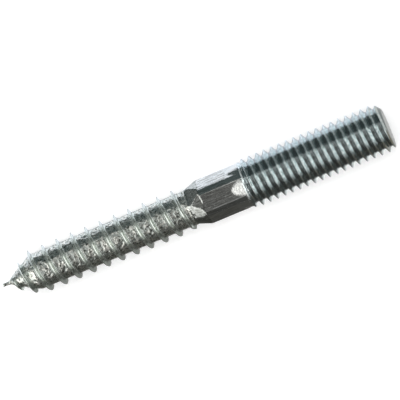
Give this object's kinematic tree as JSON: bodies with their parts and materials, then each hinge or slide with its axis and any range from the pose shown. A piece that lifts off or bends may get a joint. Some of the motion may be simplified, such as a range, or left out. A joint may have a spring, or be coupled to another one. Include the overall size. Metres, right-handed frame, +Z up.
{
  "type": "hanger bolt",
  "caption": "Steel hanger bolt with a gimlet-pointed wood thread, a pressed hexagon drive and a metric machine thread.",
  "frame": {"origin": "on the surface that the bolt lies on, under the middle of its length", "axes": "+X along the bolt towards the machine end, so the gimlet point is at -X; +Z up from the surface"},
  "size_m": [0.0652, 0.008, 0.008],
  "materials": {
    "zinc_plate": "bright zinc plate over rolled steel"
  },
  "bodies": {
    "root": {"hanger_bolt": "zinc_plate"}
  },
  "joints": []
}
